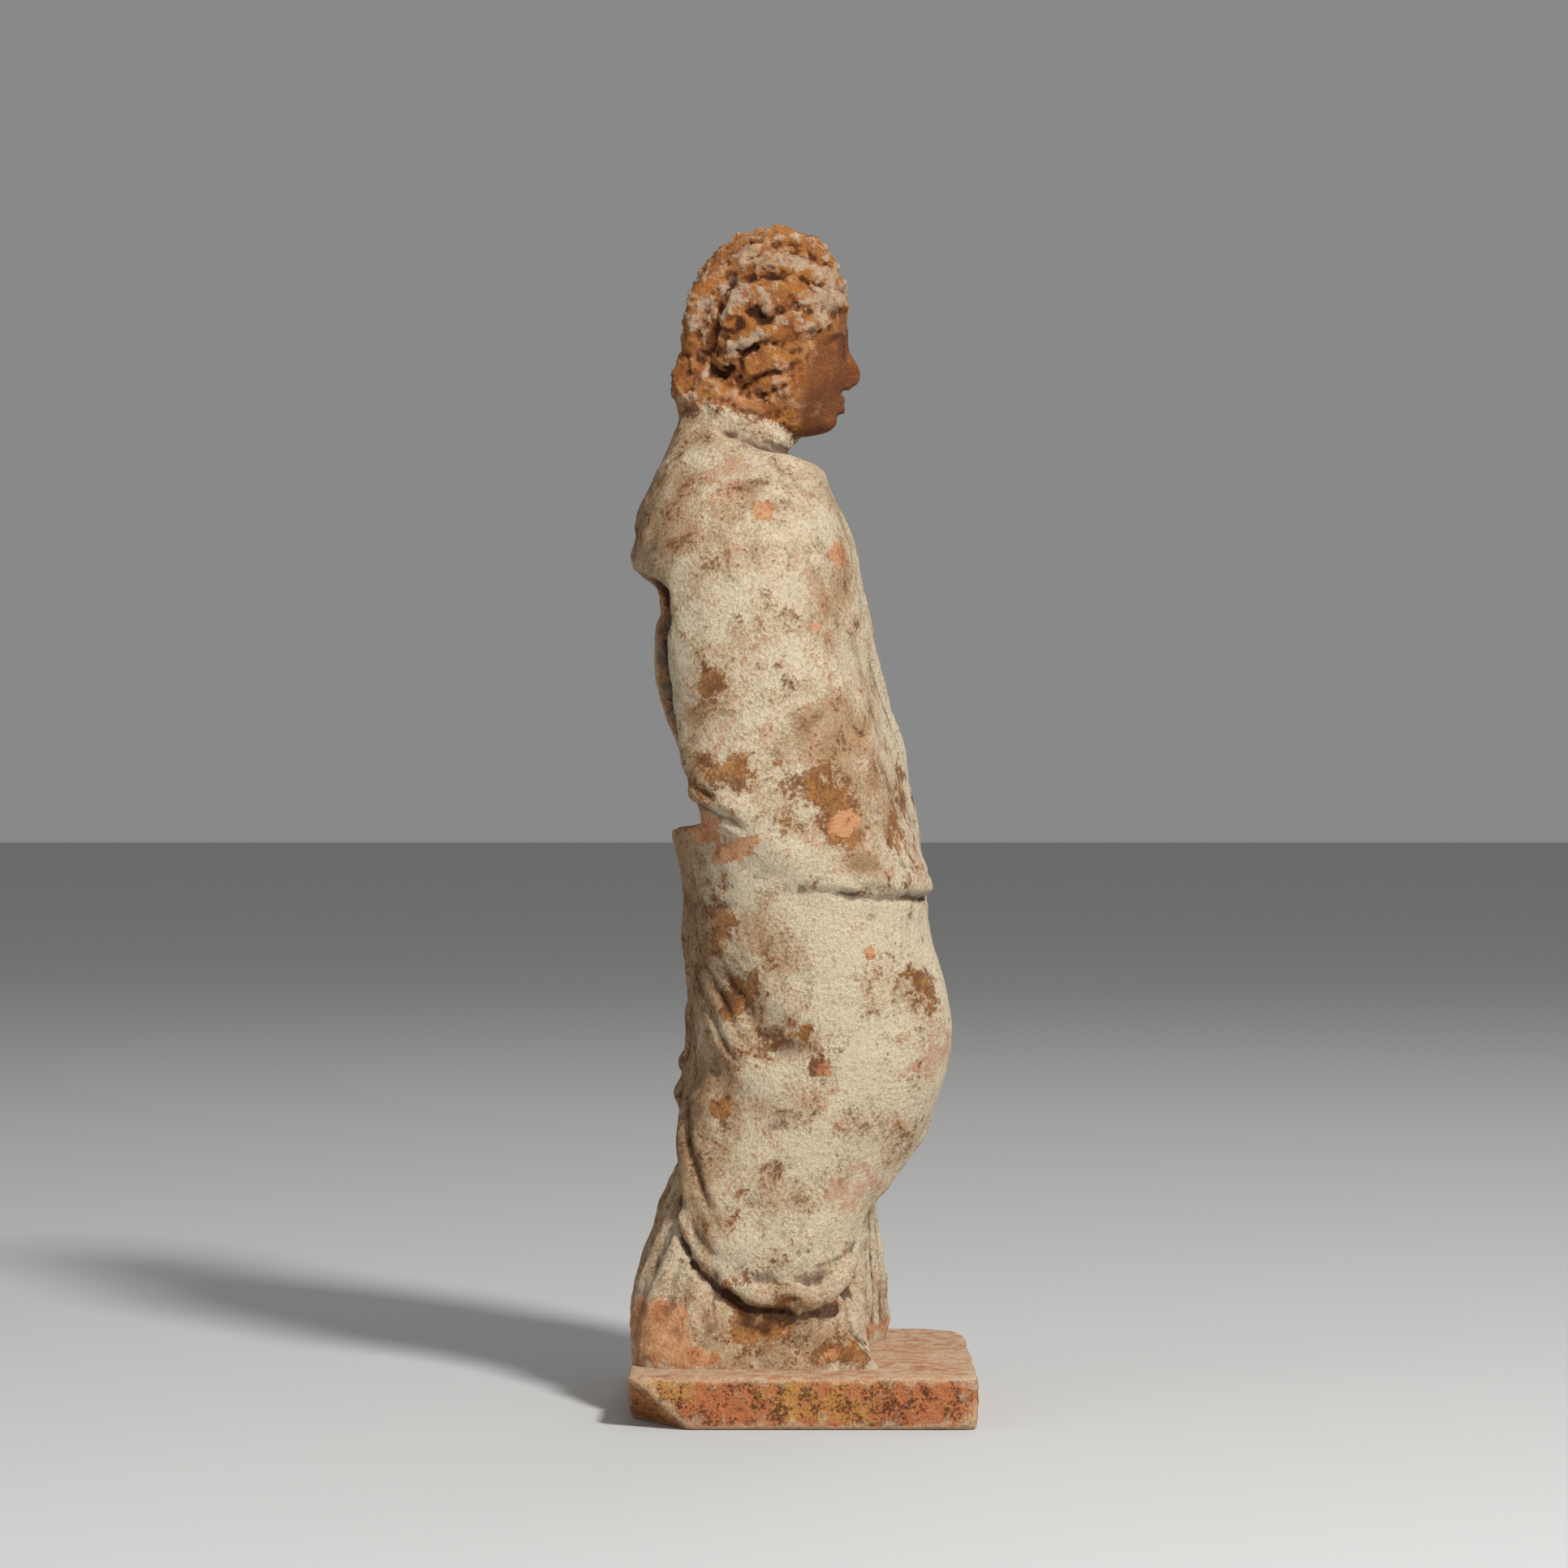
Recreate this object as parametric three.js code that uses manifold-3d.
// A mould-made terracotta figurine of a standing woman on a slab plinth. She is muffled to the neck
// in a mantle, her right forearm drawn across the waist under the cloth and her right knee pushed
// forward. A long pleated dress shows below the mantle's slanting hem and trails behind her.
// The figure is a hollow shell, open at the large vent cut in its back and open underneath, where
// it was luted onto the plinth.
//
// Millimetres, +Z up. She faces -Y and her right side is -X. The origin is the middle of the
// plinth's underside. Angles round the body are in degrees: 0 in front, 90 at her left, -90 at her
// right, 180 behind.

import * as THREE from "three";
import { mergeVertices } from "three/addons/utils/BufferGeometryUtils.js";
import Module from "manifold-3d";

// ---- Driving dimensions ---------------------------------------------------------------------

const PLINTH_WIDTH = 74;
const PLINTH_DEPTH = 57.6;
const PLINTH_THICKNESS = 8.7;
const PLINTH_EDGE = 0.7; // softened arris all round the slab
const LUTING_GAP = 0.3; // between the plinth's top and the figure's foot rim
const FOOT_RIM = PLINTH_THICKNESS + LUTING_GAP;

const WALL = 4.6; // thickness of the fired shell
const CAVITY_TOP = 149;
const CAVITY_DOME = 20; // height over which the hollow closes under the shoulders

const CROWN = 199.8; // top of the head
// The head's rounded masses: where each is centred and its half sizes.
const HEAD_MASSES = {
  hair: { at: [0, 5.7, CROWN - 15.2], half: [11.8, 13.7, 15.2] },
  face: { at: [0, 1, 177.8], half: [8.8, 9, 13.4] },
  cheeks: { at: [0, -0.4, 175.5], half: [7.4, 6.6, 8.4] },
  chin: { at: [0, -2.9, 168.4], half: [4.4, 3.9, 3.8] },
  knot: { at: [0, 16.8, 172.8], half: [6.8, 5.6, 7] },
};
const NOSE = { radius: 2.1, height: 9.5, at: [0, -6.6, 178.6], lean: -14 };

const SQUARENESS = 2.5; // exponent of the body's rounded-box sections
const TRAIN_SQUARENESS = 5; // the same where the dress spreads on the plinth
const BODY_RADIUS = 24; // mean radius, for measuring along the surface

// Sizes at each height: [height, front, back, half width].
const MANTLE_SIZES = [
  [14, -9.5, 20, 21.5],
  [24, -11.5, 22, 22.5],
  [33, -13, 22.4, 23],
  [43, -15.5, 21.8, 24],
  [52, -18, 20.2, 25],
  [61, -19.5, 18.9, 25.5],
  [70, -19.6, 18.8, 26.2],
  [78, -19, 19.5, 27],
  [90, -17.4, 20.5, 28],
  [98, -17.4, 22.3, 28.8],
  [110, -16, 24.3, 29.2],
  [124, -11.9, 26.2, 28.6],
  [136, -9.1, 27.8, 27],
  [144, -8.6, 28.3, 25.2],
  [150, -6.9, 27.3, 22.4],
  [155, -5, 25.8, 18.4],
  [159.2, -2.4, 24.1, 13.8],
  [163.5, 0.5, 22.1, 9.8],
  [168, 2, 21, 8],
];

const DRESS_SIZES = [
  [8, -9, 28.3, 25.6],
  [13, -9.1, 28.3, 24.4],
  [18, -9.2, 28, 21.8],
  [23, -9.4, 26.9, 20.2],
  [28, -9.6, 25.1, 19.8],
  [34, -10, 22.6, 20],
  [42, -11, 19.8, 20.6],
  [52, -12.5, 17.6, 21.4],
  [72, -14, 16, 21.4],
];

// Swellings under the cloth: where each is centred, how far it reaches each way, how high it is.
const MANTLE_SWELLINGS = [
  { at: [-10, -19, 61], reach: [12, 14, 23], height: 7 }, // right knee
  { at: [-29, 12, 108], reach: [12, 12, 16], height: 1.6 }, // right elbow
  { at: [29, 8, 112], reach: [12, 12, 20], height: 1.8 }, // left elbow
  { at: [27, -10, 88], reach: [9, 9, 9], height: 1.8 }, // left hand, gathering the cloth
  { at: [4, -20, 91], reach: [13, 10, 8], height: 1.9 }, // right hand
  { at: [-9, -9, 133], reach: [7, 7, 8], height: 1.3 }, // breasts
  { at: [9, -9, 133], reach: [7, 7, 8], height: 1.3 },
];

const DRESS_SWELLINGS = [
  { at: [17, -7, 14], reach: [8, 9, 46], height: 8.6 }, // standing left leg
  { at: [-17, -5, 14], reach: [8, 8, 14], height: 3.6 }, // right shin above the foot
];

// Folds of the mantle as paths of [angle, height] over its surface. A fold fades out over the
// distance "above" on its upper side and "below" on its lower side; a hollow has a minus height.
const MANTLE_FOLDS = [
  // cloth gathered under the right forearm, deep at the elbow and again at the hand
  {
    path: [[-152, 106], [-128, 101.5], [-108, 96.5], [-92, 92.5], [-74, 90]],
    above: 9,
    below: 2.2,
    height: 1.7,
  },
  {
    path: [[-96, 92], [-70, 89], [-40, 86.5], [-10, 86], [20, 88.5], [40, 93]],
    above: 9,
    below: 2.2,
    height: 1.6,
  },
  // cloth drawn tight from the left breast to the right hand, and the hollow beside it
  { path: [[32, 146], [20, 128], [10, 108], [4, 90]], above: 4.5, below: 4.5, height: 1.4 },
  { path: [[-33, 138], [-29, 122], [-26, 106], [-24, 94]], above: 5, below: 5, height: -1.1 },
  // from the left shoulder down the side
  { path: [[74, 156], [58, 138], [46, 116], [38, 98]], above: 3.5, below: 3.5, height: 1 },
  // between the knees, and pulling towards the bent one
  { path: [[6, 90], [10, 76], [14, 58], [18, 40], [22, 24]], above: 6, below: 6, height: -2.8 },
  { path: [[60, 92], [44, 80], [26, 66], [4, 56], [-10, 52]], above: 3.5, below: 3.5, height: 1.1 },
  { path: [[-160, 96], [-148, 82], [-130, 69], [-104, 61], [-84, 58]], above: 4, below: 4, height: -1.1 },
  { path: [[-168, 68], [-152, 56], [-128, 49], [-100, 45], [-80, 43]], above: 4, below: 4, height: -0.9 },
  // roll of cloth above the hem, from the calf round to the shin
  {
    path: [[-176, 62], [-160, 46], [-140, 34], [-115, 28], [-80, 28], [-50, 33], [-30, 42]],
    above: 5,
    below: 2.2,
    height: 1.1,
  },
];

// The mantle's end, falling in pleats at her left.
const FALL = { middle: 95, spread: 38, top: 104, count: 30, depth: 0.8 };

const HEM_LOW = 18.3; // lowest point of the mantle, at her right
const HEM_RISE = 40; // how much higher it hangs at her left
const HEM_LOW_ANGLE = -85;
const HEM_HASTE = 3.2; // how fast it climbs away from its lowest point
const HEM_ROUNDNESS = 1.36; // and how flat it hangs there

const COLLAR_HEIGHT = 163.5;
const COLLAR_SLANT = 4; // higher at the nape and lower at the throat by this much
const COLLAR_DIP = 157; // depth of the gap between cloth and neck

const PLEATS = 22;
const PLEAT_DEPTH = 0.6;

// The vent in her back, as [x, z] points on its ragged rim. It is widest at the bottom, where the
// shell has broken away below the right elbow.
const VENT_RIM = [
  [0, 97.4],
  [-14, 98],
  [-24.4, 99],
  [-25, 103.4],
  [-22.8, 108],
  [-21.2, 112],
  [-20.2, 118],
  [-19.8, 126],
  [-21.2, 136.4],
  [-13, 140.2],
  [4, 140.8],
  [17.6, 138.2],
  [13.8, 131],
  [10.6, 124.4],
  [13, 118.2],
  [18.6, 111],
  [22.4, 104],
  [22.8, 99],
  [13, 97.8],
];
const VENT_DEPTH = 40;

// The break at the plinth's corner behind her right foot: a point on it and the way it faces.
const SPALL = {
  at: new THREE.Vector3(-37, 18.3, 0),
  facing: new THREE.Vector3(-0.375, 0.61, -0.698).normalize(),
  size: 30,
};

// ---- Small tools ----------------------------------------------------------------------------

const { degToRad, lerp, smoothstep, clamp } = THREE.MathUtils;

const wasm = await Module();
wasm.setup();

/** A closed geometry as a solid that can be joined and cut. */
function solid(geometry) {
  const bare = geometry.clone();
  for (const name of Object.keys(bare.attributes)) {
    if (name !== "position") bare.deleteAttribute(name);
  }
  const merged = mergeVertices(bare, 1e-4);
  return new wasm.Manifold(
    new wasm.Mesh({
      numProp: 3,
      vertProperties: new Float32Array(merged.attributes.position.array),
      triVerts: new Uint32Array(merged.index.array),
    }),
  );
}

/** A solid back as a geometry. */
function geometryOf(made) {
  const mesh = made.getMesh();
  const geometry = new THREE.BufferGeometry();
  geometry.setAttribute("position", new THREE.BufferAttribute(mesh.vertProperties, 3));
  geometry.setIndex(new THREE.BufferAttribute(mesh.triVerts, 1));
  geometry.computeVertexNormals();
  return geometry;
}

/** Moves every vertex of a geometry to place(vertex). */
function reshape(geometry, place) {
  const position = geometry.attributes.position;
  for (let i = 0; i < position.count; i++) {
    const moved = place(new THREE.Vector3().fromBufferAttribute(position, i));
    position.setXYZ(i, moved.x, moved.y, moved.z);
  }
  return geometry;
}

/** A closed tube: place(angle, t) gives the wall, and close(t) the middle of each end. */
function loft(segments, rows, place, close) {
  return reshape(new THREE.CylinderGeometry(1, 1, 1, segments, rows), (v) => {
    const t = v.y + 0.5;
    return Math.hypot(v.x, v.z) < 0.5 ? close(t) : place(Math.atan2(v.x, v.z), t);
  });
}

/** Front, back and half width at any height, from rows of [height, front, back, half width]. */
function sizesAt(rows) {
  const heights = rows.map(([z]) => z);
  const values = rows.flatMap(([, ...sizes]) => sizes);
  const curve = new THREE.CubicInterpolant(heights, values, 3, new Float32Array(3));
  return (z) => {
    const [front, back, half] = curve.evaluate(clamp(z, heights[0], heights.at(-1)));
    return { front, back, half };
  };
}

/** The point of a rounded-box section at an angle. */
function onSection({ front, back, half }, angle, z, squareness = SQUARENESS) {
  const across = Math.sin(angle);
  const along = Math.cos(angle);
  const power = Math.abs(across) ** squareness + Math.abs(along) ** squareness;
  const reach = power ** (-1 / squareness);
  const depth = (back - front) / 2;
  const middle = (back + front) / 2;
  return new THREE.Vector3(half * across * reach, middle - depth * along * reach, z);
}

/** How far swellings push the surface out at a point. */
function swelling(point, swellings) {
  return swellings.reduce((sum, { at, reach, height }) => {
    const far = point
      .clone()
      .sub(new THREE.Vector3(...at))
      .divide(new THREE.Vector3(...reach))
      .lengthSq();
    return sum + height * Math.exp(-far);
  }, 0);
}

/** Moves a point outwards from the section's middle. */
function pushOut(point, { front, back }, distance) {
  const outward = new THREE.Vector3(point.x, point.y - (front + back) / 2, 0).normalize();
  return point.addScaledVector(outward, distance);
}

/** The shortest way round from one angle to another, in degrees, -180 to 180. */
const turn = (from, to) => THREE.MathUtils.euclideanModulo(to - from + 180, 360) - 180;

/** How far one fold lifts the surface at an angle (degrees) and a height. It dies out at its ends. */
function foldAt({ path, above, below, height }, angle, z) {
  let nearest = Infinity;
  let upper = true;
  let run = 0;
  for (let i = 1; i < path.length; i++) {
    const [a0, z0] = path[i - 1];
    const along = degToRad(turn(a0, path[i][0])) * BODY_RADIUS;
    const up = path[i][1] - z0;
    const px = degToRad(turn(a0, angle)) * BODY_RADIUS;
    const pz = z - z0;
    const t = clamp((px * along + pz * up) / (along * along + up * up), 0, 1);
    const far = Math.hypot(px - along * t, pz - up * t);
    if (far < nearest) {
      nearest = far;
      upper = along * pz - up * px > 0;
      run = (i - 1 + t) / (path.length - 1);
    }
  }
  const ends = smoothstep(run, 0, 0.3) * (1 - smoothstep(run, 0.7, 1));
  return height * ends * Math.exp(-((nearest / (upper ? above : below)) ** 2));
}

// ---- The figure -----------------------------------------------------------------------------

const mantleSizes = sizesAt(MANTLE_SIZES);
const dressSizes = sizesAt(DRESS_SIZES);

/** Height of the mantle's hem at an angle (radians). */
function hem(angle) {
  const away = (1 - Math.cos(angle - degToRad(HEM_LOW_ANGLE))) / 2;
  return HEM_LOW + HEM_RISE * (1 - Math.exp(-((HEM_HASTE * away) ** HEM_ROUNDNESS)));
}

function fallPleats(degrees, z) {
  const near = Math.exp(-((turn(FALL.middle, degrees) / FALL.spread) ** 4));
  const below = 1 - smoothstep(z, FALL.top - 12, FALL.top);
  return FALL.depth * near * below * Math.cos(degToRad(degrees) * FALL.count);
}

/** The mantle, from its hem to the collar. */
function mantle() {
  const place = (angle, t) => {
    const degrees = THREE.MathUtils.radToDeg(angle);
    const collar = COLLAR_HEIGHT - COLLAR_SLANT * Math.cos(angle);
    const z = lerp(hem(angle), collar, t);
    const sizes = mantleSizes(z);
    const point = onSection(sizes, angle, z);
    const folds = MANTLE_FOLDS.reduce((sum, fold) => sum + foldAt(fold, degrees, z), 0);
    const lift = swelling(point, MANTLE_SWELLINGS) + folds + fallPleats(degrees, z);
    return pushOut(point, sizes, lift);
  };
  const close = (t) => new THREE.Vector3(0, 6, t < 0.5 ? HEM_LOW + HEM_RISE / 2 : COLLAR_DIP);
  return solid(loft(56, 39, place, close));
}

/** The pleated dress, from the plinth to where the mantle hides it. */
function dress() {
  const top = DRESS_SIZES.at(-1)[0];
  const bottom = FOOT_RIM - 1;
  const place = (angle, t) => {
    const z = lerp(bottom, top, t ** 1.3);
    const sizes = dressSizes(z);
    const squareness = lerp(TRAIN_SQUARENESS, SQUARENESS, smoothstep(z, 10, 40));
    const point = onSection(sizes, angle, z, squareness);
    const fade = smoothstep(z, FOOT_RIM + 1, FOOT_RIM + 9) * (1 - smoothstep(z, 40, 60));
    const pleat = PLEAT_DEPTH * fade * Math.cos(PLEATS * angle);
    return pushOut(point, sizes, swelling(point, DRESS_SWELLINGS) + pleat);
  };
  const close = (t) => new THREE.Vector3(0, 6, lerp(bottom, top, t));
  return solid(loft(88, 9, place, close));
}

/** The toe of the right shoe, showing under the dress. */
function rightFoot() {
  const shoe = new THREE.SphereGeometry(1, 14, 10).rotateX(Math.PI / 2);
  return solid(shoe.scale(5, 12, 6.4).rotateZ(degToRad(-8)).translate(-20.5, -2.6, FOOT_RIM));
}

/** The neck and the hair massed behind it, between the collar and the head. */
function neck() {
  const column = new THREE.CylinderGeometry(1, 1.08, 26, 18, 1).rotateX(Math.PI / 2);
  return solid(column.scale(7, 8.1, 1).translate(0, 9.6, 162));
}

/** The head: masses of hair, face and the knot at the nape, run together, with the nose. */
function head() {
  const masses = Object.values(HEAD_MASSES).map(({ at, half }) => {
    const ball = new THREE.SphereGeometry(1, 22, 13).rotateX(Math.PI / 2);
    return solid(ball.scale(...half).translate(...at));
  });
  const ridge = new THREE.ConeGeometry(NOSE.radius, NOSE.height, 4)
    .rotateX(Math.PI / 2 + degToRad(NOSE.lean))
    .translate(...NOSE.at);
  return masses.reduce((whole, mass) => whole.add(mass), solid(ridge));
}

/** The hollow inside the shell, running out below its foot rim. */
function cavity() {
  const bottom = FOOT_RIM - 4;
  const place = (angle, t) => {
    const z = lerp(bottom, CAVITY_TOP, t);
    const low = dressSizes(z);
    const high = mantleSizes(z);
    const share = smoothstep(z, 32, 62);
    const inner = {
      front: lerp(low.front, high.front, share) + WALL,
      back: lerp(low.back, high.back, share) - WALL,
      half: lerp(low.half, high.half, share) - WALL,
    };
    const point = onSection(inner, angle, z);
    const wide = swelling(point, DRESS_SWELLINGS) * (1 - share) + swelling(point, MANTLE_SWELLINGS) * share;
    pushOut(point, inner, wide * 0.7);
    const closing = clamp((z - CAVITY_TOP + CAVITY_DOME) / CAVITY_DOME, 0, 1);
    const middle = new THREE.Vector3(0, 8, z);
    return point.lerp(middle, 1 - Math.sqrt(Math.max(0.02, 1 - closing ** 2)));
  };
  const close = (t) => new THREE.Vector3(0, 8, lerp(bottom, CAVITY_TOP, t));
  return solid(loft(28, 20, place, close));
}

/** What is cut away for the vent. */
function vent() {
  const rim = new THREE.Shape();
  const [start, ...rest] = VENT_RIM.map(([x, z]) => new THREE.Vector2(x, z));
  rim.moveTo(start.x, start.y);
  rim.splineThru([...rest, start]);
  const cutter = new THREE.ExtrudeGeometry(rim, {
    depth: VENT_DEPTH,
    bevelEnabled: false,
    curveSegments: 2,
  });
  return solid(cutter.rotateX(Math.PI / 2).translate(0, VENT_DEPTH + 8, 0));
}

function figure() {
  const below = solid(new THREE.BoxGeometry(120, 120, 20).translate(0, 0, FOOT_RIM - 10));
  return [dress(), rightFoot(), neck(), head()]
    .reduce((whole, piece) => whole.add(piece), mantle())
    .subtract(cavity())
    .subtract(vent())
    .subtract(below);
}

// ---- The plinth -----------------------------------------------------------------------------

/** The slab's outline: worn corners, the one behind her right foot broken off. */
function slabOutline() {
  const x = PLINTH_WIDTH / 2 - PLINTH_EDGE;
  const y = PLINTH_DEPTH / 2 - PLINTH_EDGE;
  const worn = { frontLeft: 11, frontRight: 1.4, backLeft: 2.2 };
  const broken = 1.6;
  const shape = new THREE.Shape();
  shape.moveTo(-x + worn.frontRight, -y);
  shape.lineTo(x - worn.frontLeft, -y);
  shape.quadraticCurveTo(x, -y, x, -y + worn.frontLeft);
  shape.lineTo(x, y - worn.backLeft);
  shape.quadraticCurveTo(x, y, x - worn.backLeft, y);
  shape.lineTo(-x + broken, y);
  shape.lineTo(-x, y - broken);
  shape.lineTo(-x, -y + worn.frontRight);
  shape.quadraticCurveTo(-x, -y, -x + worn.frontRight, -y);
  return shape;
}

function plinth() {
  const slab = solid(
    new THREE.ExtrudeGeometry(slabOutline(), {
      depth: PLINTH_THICKNESS - 2 * PLINTH_EDGE,
      bevelThickness: PLINTH_EDGE,
      bevelSize: PLINTH_EDGE,
      bevelSegments: 2,
      curveSegments: 6,
    }).translate(0, 0, PLINTH_EDGE),
  );
  const up = new THREE.Vector3(0, 0, 1);
  const centre = SPALL.at.clone().addScaledVector(SPALL.facing, SPALL.size / 2);
  const spall = new THREE.BoxGeometry(SPALL.size * 2, SPALL.size * 2, SPALL.size)
    .applyQuaternion(new THREE.Quaternion().setFromUnitVectors(up, SPALL.facing))
    .translate(...centre.toArray());
  return slab.subtract(solid(spall));
}

// ---- The object -----------------------------------------------------------------------------

function mesh(name, made, color, roughness) {
  const material = new THREE.MeshStandardMaterial({ color, roughness, metalness: 0 });
  const part = new THREE.Mesh(geometryOf(made), material);
  part.name = name;
  return part;
}

const figurine = new THREE.Group();
figurine.add(mesh("figure", figure(), 0xd8c4a0, 0.95));
figurine.add(mesh("plinth", plinth(), 0xa8603a, 0.92));

export default figurine;
